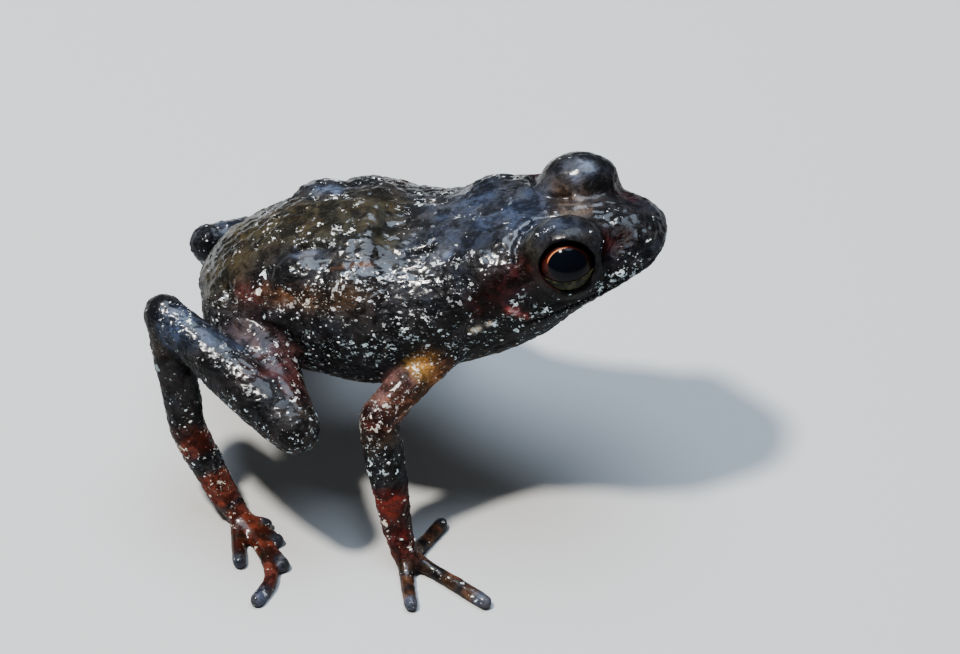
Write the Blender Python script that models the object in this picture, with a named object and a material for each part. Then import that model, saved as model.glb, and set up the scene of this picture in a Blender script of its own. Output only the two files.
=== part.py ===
"""A moss frog, life size, standing high on its legs with its head raised.

The flesh is modelled whole, from the snout to the tips of the toes, and is then parted
by thin cuts at the neck, shoulders, elbows, wrists, hips, knees, heels and feet. The two
eyes are balls of their own, set in sockets in the head.

+X is forward, +Y is the frog's left and the floor is at z = 0. Sizes are in millimetres
until the end, when the meshes are made metres and the origin is put on the floor at the
middle of the frog's bounding box.
"""

import math

import bmesh
import bpy
import numpy as np
from mathutils import Matrix, Vector

MM = 0.001
GAP = 0.3  # between two nodes that touch
GRAIN = 0.12  # edge of the fine mesh that the pieces are fused in
SOFTEN = 10  # smoothing passes over the fused flesh
EASE = 0.5  # strength of each pass
SOFT_FROM_TO = (0.8, 2.8)  # heights between which the smoothing grows to its full strength
FIRM = 0.2  # the least of it, on the digits
TRIANGLES = 9500  # in the flesh before it is cut
SCRAP = 60  # faces, fewer than any node has
ROUND_BODY = 64  # points round the trunk
ROUND_LIMB = 20
SPAN = 5  # rings between two named cross-sections of the trunk
UP = Vector((0, 0, 1))
LEFT = Vector((0, 1, 0))
SIDES = {"left": 1, "right": -1}

# Cross-sections of head and trunk, from vent to snout:
# along, height, half width, rise, drop, fullness of the corners
TRUNK = {
    "vent": (-6.7, 6.3, 0.6, 0.45, 0.55, 2.0),
    "rump": (-6.1, 6.45, 1.75, 1.1, 1.5, 2.1),
    "hips": (-4.9, 6.75, 2.7, 1.9, 2.3, 2.1),
    "loins": (-2.6, 7.15, 3.7, 2.75, 3.0, 2.1),
    "belly": (0.2, 7.5, 4.2, 3.0, 3.4, 2.2),
    "waist": (1.5, 7.85, 3.97, 2.5, 3.3, 2.15),
    "chest": (3.0, 8.3, 3.6, 2.35, 3.1, 2.1),
    "shoulders": (4.6, 8.9, 3.35, 2.4, 2.7, 2.5),
    "nape": (5.8, 9.35, 3.25, 2.35, 2.15, 2.7),
    "jaw": (7.0, 9.85, 3.1, 2.0, 1.5, 2.5),
    "cheek": (8.2, 10.3, 2.65, 1.7, 1.15, 2.3),
    "snout": (9.4, 10.75, 1.9, 1.26, 0.95, 2.2),
    "nose": (10.1, 10.95, 1.2, 0.8, 0.75, 2.1),
    "tip": (10.4, 11.0, 0.45, 0.36, 0.35, 2.0),
}
# Low swellings of the back: along, degrees up from the flank, half length, half width, height
SWELLINGS = {
    "iliac": (-2.1, 52, 1.2, 0.9, 0.32),
    "sacral": (-0.5, 48, 1.2, 0.9, 0.18),
    "scapular": (4.6, 50, 1.2, 0.9, 0.2),
}
SWELLING_DEPTH = 0.6

HEAD_TILT = 18
EYE = Vector((7.2, 2.12, 11.08))
EYE_RADIUS = 1.05
EYE_GAP = 0.15
EYE_LOOKS = Vector((0.15, 0.82, 0.55)).normalized()
EYE_OPENING = (1.02, 0.94)  # half length and half height between the lids
LID_DOME = EYE + Vector((-0.12, -0.32, 0.32))
LID_SIZE = (1.56, 1.27, 1.2)
LID_RING = (1.2, 1.1)  # half length and half height of the rim round the opening
LID_THICK = 0.2
LID_FORWARD = 0.38  # of the rim before the eye's middle
NOSTRIL = Vector((9.76, 0.66, 11.77))
NOSTRIL_RADIUS = 0.17

# The mouth runs round the snout at an angle below the widest line, between two lips.
MOUTH_CORNER = 5.3  # how far back it reaches
MOUTH_TURN = -6
MOUTH_DEEP = 0.14
LIPS = {"upper": (3, 0.22), "lower": (-15, 0.2)}  # degrees from the widest line, radius
LIPS_SUNK = 0.04  # share of the way to the middle of the head
SKULL = Vector((7.0, 0, 10.0))

# Joints of the limbs, on the left side; the right side mirrors them unless it differs.
SHOULDER = Vector((2.95, 2.9, 7.2))
ELBOW = Vector((0.72, 4.97, 5.12))
WRIST = Vector((1.7, 6.6, 1.3))
PALM = Vector((2.1, 7.15, 0.45))
HIP = Vector((-5.0, 1.4, 6.6))
KNEE = {"right": Vector((-2.0, 6.6, 5.6)), "left": Vector((-2.0, 5.7, 4.7))}
HEEL = {"right": Vector((-7.5, 3.0, 7.3)), "left": Vector((-6.95, 2.45, 6.1))}
INSTEP = {"right": Vector((-6.45, 4.5, 3.1)), "left": Vector((-5.9, 4.2, 2.9))}
SOLE = Vector((-5.1, 5.5, 1.2))
BALL = Vector((-4.3, 5.98, 0.38))

# Radii of each stretch of the limbs, from its root to its end
UPPER_ARM = (0.82, 0.7, 0.7)
FOREARM = (0.7, 0.76, 0.56)
HAND = (0.55, 0.5)
THIGH = (1.4, 1.15, 0.9)
SHANK = (0.9, 1.0, 0.72)
TARSUS = (0.75, 0.74, 0.7)
FOOT = (0.68, 0.55, 0.42)
DIGIT_ROOT = 0.38
DIGIT = 0.28
DIGIT_HEIGHT = 0.19  # of its axis over the floor, less than that, so that it rests on a flat
FINGERS = {
    "first": ((1.95, 6.5), (1.5, 5.75)),
    "second": ((2.55, 6.3), (3.07, 5.1)),
    "third": ((3.1, 7.5), (4.1, 8.1), (5.3, 8.85)),
    "fourth": ((2.3, 8.1), (2.68, 9.4)),
}
TOES = {
    "first": ((-4.0, 6.0), (-3.3, 6.15)),
    "second": ((-3.7, 6.4), (-2.75, 6.85)),
    "third": ((-3.5, 6.8), (-2.3, 8.1)),
    "fourth": ((-3.6, 6.85), (-2.83, 8.05), (-2.6, 9.05), (-2.89, 10.05)),
    "fifth": ((-4.2, 6.9), (-3.9, 8.2)),
}

# Plates that part the flesh, on the left: place, the way it faces, radius
NECK_CUT = (Vector((4.75, 0, 9.0)), Vector((1, 0, 0.35)), 4.6)
SHOULDER_CUT = (Vector((1.6, 4.0, 6.2)), Vector((0.15, 0.85, -0.5)), 2.3)
HIP_CUT = (Vector((-4.2, 3.05, 6.2)), Vector((-0.4, 0.9, -0.1)), 2.6)
KNEE_CUT = (2.4, 3.6)  # its middle lies this far into the fold, radius
HEEL_CUT = (0.8, 2.4)
ELBOW_CUT = 1.5  # radius
WRIST_CUT = 1.0
INSTEP_CUT = 1.2

# Colour and roughness of each node
FINISHES = {
    "head": ((0.035, 0.034, 0.038), 0.35),
    "torso": ((0.04, 0.038, 0.038), 0.35),
    "upper_arm": ((0.22, 0.1, 0.035), 0.4),
    "forearm": ((0.1, 0.035, 0.028), 0.38),
    "hand": ((0.12, 0.04, 0.026), 0.4),
    "thigh": ((0.1, 0.055, 0.055), 0.38),
    "shank": ((0.035, 0.03, 0.032), 0.36),
    "tarsus": ((0.045, 0.04, 0.042), 0.38),
    "foot": ((0.15, 0.04, 0.025), 0.4),
    "eye": ((0.02, 0.012, 0.01), 0.08),
}
SHARP = math.radians(40)
UNDER_FLOOR = ((-12, -14, -3), (14, 14, 0))  # corners of what is cut off below


def station(along):
    """The trunk's cross-section at a distance along it: centre, up, width, rise, drop, fullness."""
    rows = np.array(smooth(list(TRUNK.values()), SPAN))
    x, z, *sizes = [float(np.interp(along, rows[:, 0], rows[:, k])) for k in range(6)]
    k = int(np.clip(np.searchsorted(rows[:, 0], along), 1, len(rows) - 1))
    ahead = Vector((rows[k][0] - rows[k - 1][0], 0, rows[k][1] - rows[k - 1][1])).normalized()
    return Vector((x, 0, z)), ahead.cross(LEFT), *sizes


def on_trunk(along, degrees):
    """A place on the trunk's left side, and the way out of it. 90 degrees is the back."""
    centre, up, width, rise, drop, power = station(along)
    c, s = math.cos(math.radians(degrees)), math.sin(math.radians(degrees))
    across = abs(c) ** (2 / power) * width
    high = math.copysign(abs(s) ** (2 / power), s) * (rise if s > 0 else drop)
    tall = rise if s > 0 else drop
    out = (LEFT * across / width**2 + up * high / tall**2).normalized()
    return centre + LEFT * across + up * high, out


def mirrored(v, sign):
    return Vector((v[0], v[1] * sign, v[2]))


def smooth(rows, steps):
    """Rows of numbers with `steps` rows for each span, on a Catmull-Rom curve through them."""
    rows = np.array(rows, float)
    padded = np.vstack([2 * rows[0] - rows[1], rows, 2 * rows[-1] - rows[-2]])
    made = []
    for a, b, c, d in zip(padded, padded[1:], padded[2:], padded[3:]):
        for t in np.arange(steps) / steps:
            bend = 2 * a - 5 * b + 4 * c - d + t * (3 * (b - c) + d - a)
            made.append(b + 0.5 * t * (c - a + t * bend))
    made.append(rows[-1])
    return made


def made(name, shape):
    """A new object in the scene from a finished bmesh."""
    mesh = bpy.data.meshes.new(name)
    shape.to_mesh(mesh)
    shape.free()
    thing = bpy.data.objects.new(name, mesh)
    bpy.context.scene.collection.objects.link(thing)
    return thing


def loft(name, rings):
    """A closed mesh through rings of points, each ring the same length, with a fan on both ends."""
    shape = bmesh.new()
    loops = [[shape.verts.new(p) for p in ring] for ring in rings]
    count = len(loops[0])
    for lower, upper in zip(loops, loops[1:]):
        for k in range(count):
            n = (k + 1) % count
            shape.faces.new((lower[k], lower[n], upper[n], upper[k]))
    for loop in (loops[0], loops[-1]):
        middle = shape.verts.new(sum((v.co for v in loop), Vector()) / count)
        for k in range(count):
            shape.faces.new((loop[k], loop[(k + 1) % count], middle))
    bmesh.ops.recalc_face_normals(shape, faces=shape.faces)
    return made(name, shape)


def section(centre, side, up, width, rise, drop, count, power=2.0):
    """A ring of points round a centre, an ellipse whose corners fill out as the power grows."""
    ring = []
    for k in range(count):
        angle = 2 * math.pi * k / count
        c, s = math.cos(angle), math.sin(angle)
        across = math.copysign(abs(c) ** (2 / power), c) * width
        high = math.copysign(abs(s) ** (2 / power), s) * (rise if s > 0 else drop)
        ring.append(centre + side * across + up * high)
    return ring


def trunk():
    rows = smooth(list(TRUNK.values()), SPAN)
    rings = []
    for k, (x, z, width, rise, drop, power) in enumerate(rows):
        before, after = rows[max(k - 1, 0)], rows[min(k + 1, len(rows) - 1)]
        along = Vector((after[0] - before[0], 0, after[1] - before[1])).normalized()
        up = along.cross(LEFT)
        rings.append(section(Vector((x, 0, z)), LEFT, up, width, rise, drop, ROUND_BODY, power))
    return loft("trunk", rings)


def tube(name, points, count=ROUND_LIMB, steps=4):
    """A tapered tube with round ends. points: (place, radius) from root to tip."""
    rows = smooth([(*place, radius) for place, radius in points], steps)
    centres = [Vector(row[:3]) for row in rows]
    radii = [float(row[3]) for row in rows]
    first = (centres[0] - centres[1]).normalized()
    last = (centres[-1] - centres[-2]).normalized()
    turns = [math.radians(angle) for angle in (35, 60, 80)]
    tail = [(centres[-1] + last * radii[-1] * math.sin(a), radii[-1] * math.cos(a)) for a in turns]
    head = [(centres[0] + first * radii[0] * math.sin(a), radii[0] * math.cos(a)) for a in turns]
    line = head[::-1] + list(zip(centres, radii)) + tail
    rings = []
    for k, (centre, radius) in enumerate(line):
        along = (line[min(k + 1, len(line) - 1)][0] - line[max(k - 1, 0)][0]).normalized()
        side = along.cross(UP).normalized()
        rings.append(section(centre, side, side.cross(along), radius, radius, radius, count))
    return loft(name, rings)


def ball(name, centre, size, turn=Matrix.Identity(3), around=24, along=16):
    """An ellipsoid with its poles on its own X, turned and then placed."""
    rings = []
    for k in range(1, along):
        a = math.pi * k / along
        ring = []
        for j in range(around):
            b = 2 * math.pi * j / around
            place = (
                -math.cos(a) * size[0],
                math.sin(a) * size[1] * math.cos(b),
                math.sin(a) * size[2] * math.sin(b),
            )
            ring.append(centre + turn @ Vector(place))
        rings.append(ring)
    return loft(name, rings)


def hoop(name, centre, turn, size, thick, around=28, across=10):
    """A closed oval hoop, round its own Z before it is turned."""
    shape = bmesh.new()
    loops = []
    for k in range(around):
        a = 2 * math.pi * k / around
        out = Vector((math.cos(a), math.sin(a), 0))
        middle = Vector((out.x * size[0], out.y * size[1], 0))
        places = section(middle, out, UP, thick, thick, thick, across)
        loops.append([shape.verts.new(centre + turn @ place) for place in places])
    for here, there in zip(loops, loops[1:] + loops[:1]):
        for k in range(across):
            n = (k + 1) % across
            shape.faces.new((here[k], here[n], there[n], there[k]))
    bmesh.ops.recalc_face_normals(shape, faces=shape.faces)
    return made(name, shape)


def facing(normal, along=Vector((1, 0, 0))):
    """A turn that takes +Z to the normal and +X as near as it can to another direction."""
    z = normal.normalized()
    x = (along - z * along.dot(z)).normalized()
    return Matrix((x, z.cross(x), z)).transposed()


def plate(name, centre, normal, reach):
    """A round plate as thick as the gap between nodes."""
    side, up, out = facing(normal, Vector((0.3, 0.5, 0.8))).transposed()
    ends = [centre + out * height for height in (-GAP / 2, GAP / 2)]
    return loft(name, [section(end, side, up, reach, reach, reach, ROUND_LIMB) for end in ends])


def block(name, low, high):
    corners = [(low[0], low[1]), (high[0], low[1]), (high[0], high[1]), (low[0], high[1])]
    return loft(name, [[Vector((*c, z)) for c in corners] for z in (low[2], high[2])])


def applied(thing):
    """The object with its mesh as its modifiers leave it, and the modifiers gone."""
    bpy.context.view_layer.update()
    seen = bpy.context.evaluated_depsgraph_get()
    mesh = bpy.data.meshes.new_from_object(thing.evaluated_get(seen))
    thing.modifiers.clear()
    thing.data = mesh
    return thing


def boolean(thing, others, operation):
    """Joins the others to the thing, or takes them from it, and removes them."""
    group = bpy.data.collections.new("tools")
    for other in others:
        group.objects.link(other)
    change = thing.modifiers.new(operation.lower(), "BOOLEAN")
    change.operation = operation
    change.operand_type = "COLLECTION"
    change.collection = group
    change.solver = "EXACT"
    applied(thing)
    for other in others:
        bpy.data.objects.remove(other)
    bpy.data.collections.remove(group)
    return thing


def set_on_side(points, sign):
    return [(mirrored(place, sign), radius) for place, radius in points]


def arm(sign):
    def at(*points):
        return set_on_side(points, sign)

    yield tube("upper_arm", at(*zip((SHOULDER, SHOULDER.lerp(ELBOW, 0.5), ELBOW), UPPER_ARM)))
    yield tube("forearm", at(*zip((ELBOW, ELBOW.lerp(WRIST, 0.4), WRIST), FOREARM)))
    yield tube("palm", at(*zip((WRIST, PALM), HAND)))
    for places in FINGERS.values():
        path = [((*place, DIGIT_HEIGHT), DIGIT) for place in places]
        yield tube("finger", at((PALM, DIGIT_ROOT), *path))


def leg(side, sign):
    def at(*points):
        return set_on_side(points, sign)

    knee, heel, instep = KNEE[side], HEEL[side], INSTEP[side]
    yield tube("thigh", at(*zip((HIP, HIP.lerp(knee, 0.5), knee), THIGH)))
    yield tube("shank", at(*zip((knee, knee.lerp(heel, 0.4), heel), SHANK)))
    yield tube("tarsus", at(*zip((heel, heel.lerp(instep, 0.5), instep), TARSUS)))
    yield tube("sole", at(*zip((instep, SOLE, BALL), FOOT)))
    for places in TOES.values():
        path = [((*place, DIGIT_HEIGHT), DIGIT) for place in places]
        yield tube("toe", at((BALL, DIGIT_ROOT), *path))


def eye_turn(sign):
    """A turn that takes +Z to where the eye looks and +X along the head."""
    along = Matrix.Rotation(math.radians(-HEAD_TILT), 3, "Y") @ Vector((1, 0, 0))
    return facing(mirrored(EYE_LOOKS, sign), along)


def lids(sign):
    """The dome of the upper lid and the rim of both lids round the eye."""
    tilt = Matrix.Rotation(math.radians(-HEAD_TILT), 3, "Y")
    yield ball("lid", mirrored(LID_DOME, sign), LID_SIZE, tilt)
    middle = mirrored(EYE + EYE_LOOKS * LID_FORWARD, sign)
    yield hoop("rim", middle, eye_turn(sign), LID_RING, LID_THICK)


def swellings(sign):
    for along, degrees, length, width, height in SWELLINGS.values():
        place, out = on_trunk(along, degrees)
        centre = mirrored(place + out * (height - SWELLING_DEPTH), sign)
        turn = facing(mirrored(out, sign))
        yield ball("swelling", centre, (length, width, SWELLING_DEPTH), turn)


def round_the_snout(degrees):
    """Places along the jaw from the right corner of the mouth round the snout to the left one."""
    front = list(TRUNK.values())[-1][0]
    share = [math.sin(math.pi / 2 * k / 12) for k in range(13)]
    left = [on_trunk(MOUTH_CORNER + (front - MOUTH_CORNER) * t, degrees)[0] for t in share]
    return [mirrored(place, -1) for place in left] + left[-2::-1]


def lips():
    for name, (degrees, radius) in LIPS.items():
        path = [place.lerp(SKULL, LIPS_SUNK) for place in round_the_snout(degrees)]
        yield tube(name, [(place, radius) for place in path], steps=1)


def openings():
    """Cutters for the mouth's line, the nostrils, the eyes' sockets and the openings of the lids."""
    path = round_the_snout(MOUTH_TURN)
    yield tube("mouth", [(place, MOUTH_DEEP) for place in path], count=10, steps=1)
    for sign in SIDES.values():
        yield ball("nostril", mirrored(NOSTRIL, sign), (NOSTRIL_RADIUS,) * 3, around=12, along=8)
        yield ball("socket", mirrored(EYE, sign), (EYE_RADIUS + EYE_GAP,) * 3)
        side, up, out = eye_turn(sign).transposed()
        length, height = EYE_OPENING
        ends = [mirrored(EYE, sign) + out * far for far in (EYE_RADIUS / 3, EYE_RADIUS * 3)]
        rings = [section(end, side * length, up * height, 1, 1, 1, 28) for end in ends]
        yield loft("opening", rings)


def flesh():
    """Head, trunk and limbs as one closed body with its creases softened."""
    whole = trunk()
    pieces = [*lips()]
    for side, sign in SIDES.items():
        pieces += [*lids(sign), *swellings(sign), *arm(sign), *leg(side, sign)]
    boolean(whole, pieces, "UNION")
    whole.name = "flesh"
    grain = whole.modifiers.new("grain", "REMESH")
    grain.mode = "VOXEL"
    grain.voxel_size = GRAIN
    applied(whole)
    soft = whole.vertex_groups.new(name="soft")
    lowest, highest = SOFT_FROM_TO
    for v in whole.data.vertices:
        share = (v.co.z - lowest) / (highest - lowest)
        soft.add([v.index], min(1.0, max(FIRM, share)), "REPLACE")
    ease = whole.modifiers.new("ease", "SMOOTH")
    ease.factor = EASE
    ease.iterations = SOFTEN
    ease.vertex_group = "soft"
    applied(whole)
    thin = whole.modifiers.new("thin", "DECIMATE")
    thin.ratio = TRIANGLES / (2 * len(whole.data.polygons))
    return applied(whole)


def partings():
    """The plates that part the flesh into its nodes."""
    yield plate("neck", *NECK_CUT)
    for side, sign in SIDES.items():
        knee, heel, instep = KNEE[side], HEEL[side], INSTEP[side]
        upper = (ELBOW - SHOULDER).normalized()
        lower = (WRIST - ELBOW).normalized()
        thigh = (HIP - knee).normalized()
        shank = (heel - knee).normalized()
        tarsus = (instep - heel).normalized()
        sole = (SOLE - instep).normalized()
        fold = (thigh + shank).normalized()
        crook = (tarsus - shank).normalized()
        cuts = (
            ("shoulder", *SHOULDER_CUT),
            ("elbow", ELBOW, upper + lower, ELBOW_CUT),
            ("wrist", WRIST, lower, WRIST_CUT),
            ("hip", *HIP_CUT),
            ("knee", knee + fold * KNEE_CUT[0], thigh - shank, KNEE_CUT[1]),
            ("heel", heel + crook * HEEL_CUT[0], tarsus + shank, HEEL_CUT[1]),
            ("instep", instep, tarsus + sole, INSTEP_CUT),
        )
        for name, place, normal, reach in cuts:
            yield plate(f"{side}_{name}", mirrored(place, sign), mirrored(normal, sign), reach)


def cores():
    """A place inside each node of flesh, by which it is known."""
    found = {"head": Vector((8.0, 0, 10.2)), "torso": Vector((-0.5, 0, 7.4))}
    for side, sign in SIDES.items():
        knee, heel, instep = KNEE[side], HEEL[side], INSTEP[side]
        for name, place in (
            ("upper_arm", SHOULDER.lerp(ELBOW, 0.7)),
            ("forearm", ELBOW.lerp(WRIST, 0.5)),
            ("hand", PALM),
            ("thigh", HIP.lerp(knee, 0.6)),
            ("shank", knee.lerp(heel, 0.5)),
            ("tarsus", heel.lerp(instep, 0.5)),
            ("foot", BALL),
        ):
            found[f"{side}_{name}"] = mirrored(place, sign)
    return found


def islands(thing):
    """The closed surfaces of a mesh, each as a list of its faces."""
    shape = bmesh.new()
    shape.from_mesh(thing.data)
    left = set(shape.faces)
    found = []
    while left:
        front = [left.pop()]
        island = list(front)
        while front:
            near = {f for edge in front.pop().edges for f in edge.link_faces if f in left}
            left -= near
            front += near
            island += near
        found.append([[v.co.copy() for v in face.verts] for face in island])
    shape.free()
    return found


def part_nodes(whole):
    """Makes a node of the closest-fitting surface round each core. Loose scraps are left out."""
    surfaces = [faces for faces in islands(whole) if len(faces) > SCRAP]
    bpy.data.objects.remove(whole)
    for name, core in cores().items():
        round_it = [faces for faces in surfaces if core_in_box(core, faces)]
        if not round_it:
            raise RuntimeError(f"no closed surface for {name}")
        closest = min(round_it, key=box_volume)
        surfaces.remove(closest)
        node(name, closest)


def box(faces):
    places = np.array([p for face in faces for p in face])
    return places.min(0), places.max(0)


def core_in_box(core, faces):
    low, high = box(faces)
    return bool((low < np.array(core)).all() and (np.array(core) < high).all())


def box_volume(faces):
    low, high = box(faces)
    return float((high - low).prod())


def node(name, faces):
    shape = bmesh.new()
    for face in faces:
        shape.faces.new([shape.verts.new(p) for p in face])
    bmesh.ops.remove_doubles(shape, verts=shape.verts, dist=1e-5)
    return made(name, shape)


def finish(thing):
    """Gives a node its own material and smooth shading."""
    colour, roughness = FINISHES[thing.name.removeprefix("left_").removeprefix("right_")]
    material = bpy.data.materials.new(thing.name)
    material.use_nodes = True
    surface = material.node_tree.nodes["Principled BSDF"]
    surface.inputs["Base Color"].default_value = (*colour, 1)
    surface.inputs["Roughness"].default_value = roughness
    surface.inputs["Metallic"].default_value = 0.0
    thing.data.materials.append(material)
    thing.data.shade_smooth()
    thing.data.set_sharp_from_angle(angle=SHARP)


def main():
    for old in list(bpy.data.objects):
        bpy.data.objects.remove(old)
    whole = flesh()
    floor = block("floor", *UNDER_FLOOR)
    boolean(whole, [*partings(), *openings(), floor], "DIFFERENCE")
    part_nodes(whole)
    for side, sign in SIDES.items():
        ball(f"{side}_eye", mirrored(EYE, sign), (EYE_RADIUS,) * 3, around=20, along=14)
    places = np.array([v.co for thing in bpy.data.objects for v in thing.data.vertices])
    middle = (places.min(0) + places.max(0)) / 2
    shift = Matrix.Translation((-middle[0], -middle[1], 0))
    for thing in bpy.data.objects:
        thing.data.transform(Matrix.Scale(MM, 4) @ shift)
        finish(thing)


main()
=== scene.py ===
"""The looks of a small moss frog, life size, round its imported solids.

One skin takes the place of all the solids of flesh, so that the cuts between them are closed.
It is lofted from the same named sizes, in a finer mesh, then creased, painted and given its
relief. Granules, lower lids and eyes are pieces of their own.

Sizes are in millimetres in the drawing's own place until a piece is finished, when it is moved
to the frame's place and made metres. +X is forward, +Y the frog's left and the floor is z = 0.
"""

import math

import bmesh
import bpy
import numpy as np
from bpy.props import FloatProperty, FloatVectorProperty, IntProperty, PointerProperty
from mathutils import Matrix, Vector


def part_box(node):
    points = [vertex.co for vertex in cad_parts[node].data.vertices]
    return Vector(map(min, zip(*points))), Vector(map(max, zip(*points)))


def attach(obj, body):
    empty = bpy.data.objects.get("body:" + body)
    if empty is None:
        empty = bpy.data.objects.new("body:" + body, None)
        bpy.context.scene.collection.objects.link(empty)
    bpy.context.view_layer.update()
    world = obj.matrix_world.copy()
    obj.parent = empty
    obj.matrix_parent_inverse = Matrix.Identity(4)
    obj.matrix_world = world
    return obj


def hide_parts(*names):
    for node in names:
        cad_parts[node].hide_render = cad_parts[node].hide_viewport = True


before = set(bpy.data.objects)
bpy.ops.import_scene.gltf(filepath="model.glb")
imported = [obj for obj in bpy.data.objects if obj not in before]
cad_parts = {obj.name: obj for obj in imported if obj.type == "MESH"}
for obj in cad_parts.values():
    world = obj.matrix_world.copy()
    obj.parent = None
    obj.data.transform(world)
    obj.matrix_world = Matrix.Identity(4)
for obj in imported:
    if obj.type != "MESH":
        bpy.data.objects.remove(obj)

bl_info = {
    "name": "Moss Frog",
    "version": (1, 0, 0),
    "blender": (4, 5, 0),
    "location": "View3D > Sidebar > Frog",
    "description": "Gives the packed frog its skin, granules, lids, eyes and a plain stage",
    "category": "Object",
}

MM = 0.001
UP = Vector((0, 0, 1))
LEFT = Vector((0, 1, 0))
FORWARD = Vector((1, 0, 0))
SIDES = {"left": 1, "right": -1}
FLESH = sorted(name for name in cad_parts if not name.endswith("_eye"))

FIRST_GRAIN = 0.1  # edge of the rough mesh, before the openings are cut

# Cross-sections of head and trunk, from vent to snout:
# along, height, half width, rise, drop, fullness of the corners
TRUNK = {
    "vent": (-6.7, 6.3, 0.6, 0.45, 0.55, 2.0),
    "rump": (-6.1, 6.45, 1.75, 1.1, 1.5, 2.1),
    "hips": (-4.9, 6.75, 2.7, 1.9, 2.3, 2.1),
    "loins": (-2.6, 7.15, 3.7, 2.75, 3.0, 2.1),
    "belly": (0.2, 7.5, 4.2, 3.0, 3.4, 2.2),
    "waist": (1.5, 7.85, 3.97, 2.5, 3.3, 2.15),
    "chest": (3.0, 8.3, 3.6, 2.35, 3.1, 2.1),
    "shoulders": (4.6, 8.9, 3.35, 2.4, 2.7, 2.5),
    "nape": (5.8, 9.35, 3.25, 2.35, 2.15, 2.7),
    "jaw": (7.0, 9.85, 3.1, 2.0, 1.5, 2.5),
    "cheek": (8.2, 10.3, 2.65, 1.7, 1.15, 2.3),
    "snout": (9.4, 10.75, 1.9, 1.26, 0.95, 2.2),
    "nose": (10.1, 10.95, 1.2, 0.8, 0.75, 2.1),
    "tip": (10.4, 11.0, 0.45, 0.36, 0.35, 2.0),
}
SPAN = 8  # rings between two named cross-sections of the trunk
ROUND_BODY = 96
ROUND_LIMB = 28
# Low swellings of the back: along, degrees up from the flank, half length, half width, height
SWELLINGS = {
    "iliac": (-2.1, 52, 1.2, 0.9, 0.32),
    "sacral": (-0.5, 48, 1.2, 0.9, 0.18),
    "scapular": (4.6, 50, 1.2, 0.9, 0.2),
}
SWELLING_DEPTH = 0.6

HEAD_TURN = Matrix.Rotation(math.radians(-18), 3, "Y")  # the head is raised
EYE = Vector((7.2, 2.12, 11.08))
EYE_RADIUS = 1.05
EYE_LOOKS = Vector((0.15, 0.82, 0.55)).normalized()
EYE_OPENING = (1.0, 0.9)  # half length and half height between the lids
SOCKET_RADIUS = EYE_RADIUS - 0.01
LID_DOME = EYE + Vector((-0.12, -0.32, 0.32))
LID_SIZE = (1.56, 1.27, 1.2)
LID_RING = (1.17, 1.07)
LID_THICK = 0.2
LID_FORWARD = 0.38
LOWER_LID_RADII = (EYE_RADIUS + 0.004, EYE_RADIUS + 0.045)
NOSTRIL = Vector((9.76, 0.66, 11.77))
NOSTRIL_RADIUS = 0.15

MOUTH_CORNER = 5.3
MOUTH_TURN = -6
LIPS = {"upper": (3, 0.22), "lower": (-15, 0.2)}  # degrees from the widest line, radius
LIPS_SUNK = 0.04
MOUTH_LINE = {"depth": 0.17, "width": 0.06, "lip": 0.11, "lip width": 0.25}
SKULL = Vector((7.0, 0, 10.0))

# Joints of the limbs, on the left side; the right side mirrors them unless it differs.
SHOULDER = Vector((2.95, 2.9, 7.2))
ELBOW = Vector((0.72, 4.97, 5.12))
WRIST = Vector((1.7, 6.6, 1.3))
PALM = Vector((2.1, 7.15, 0.45))
HIP = Vector((-5.0, 1.4, 6.6))
KNEE = {"right": Vector((-2.0, 6.6, 5.6)), "left": Vector((-2.0, 5.7, 4.7))}
HEEL = {"right": Vector((-7.5, 3.0, 7.3)), "left": Vector((-6.95, 2.45, 6.1))}
INSTEP = {"right": Vector((-6.45, 4.5, 3.1)), "left": Vector((-5.9, 4.2, 2.9))}
SOLE = Vector((-5.1, 5.5, 1.2))
BALL = Vector((-4.3, 5.98, 0.38))
# Radii of each stretch of the limbs, from its root to its end
UPPER_ARM = (0.82, 0.7, 0.7)
FOREARM = (0.7, 0.76, 0.56)
HAND = (0.55, 0.5)
THIGH = (1.4, 1.15, 0.9)
SHANK = (0.9, 1.0, 0.72)
TARSUS = (0.75, 0.74, 0.7)
FOOT = (0.68, 0.55, 0.42)
DIGIT_ROOT = 0.38
DIGIT = 0.28
DIGIT_HEIGHT = 0.19
FINGERS = {
    "first": ((1.95, 6.5), (1.5, 5.75)),
    "second": ((2.55, 6.3), (3.07, 5.1)),
    "third": ((3.1, 7.5), (4.1, 8.1), (5.3, 8.85)),
    "fourth": ((2.3, 8.1), (2.68, 9.4)),
}
TOES = {
    "first": ((-4.0, 6.0), (-3.3, 6.15)),
    "second": ((-3.7, 6.4), (-2.75, 6.85)),
    "third": ((-3.5, 6.8), (-2.3, 8.1)),
    "fourth": ((-3.6, 6.85), (-2.83, 8.05), (-2.6, 9.05), (-2.89, 10.05)),
    "fifth": ((-4.2, 6.9), (-3.9, 8.2)),
}

# Two pits of the right side, which are dents with painted shade in them
LOIN_PIT = ((-2.68, -1.38, 9.79), (-2.24, -1.36, 9.93), (-1.75, -1.45, 10.03))
SHOULDER_PIT = ((1.4, -1.5, 10.16), (1.76, -1.46, 10.22), (2.1, -1.36, 10.34))

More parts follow.
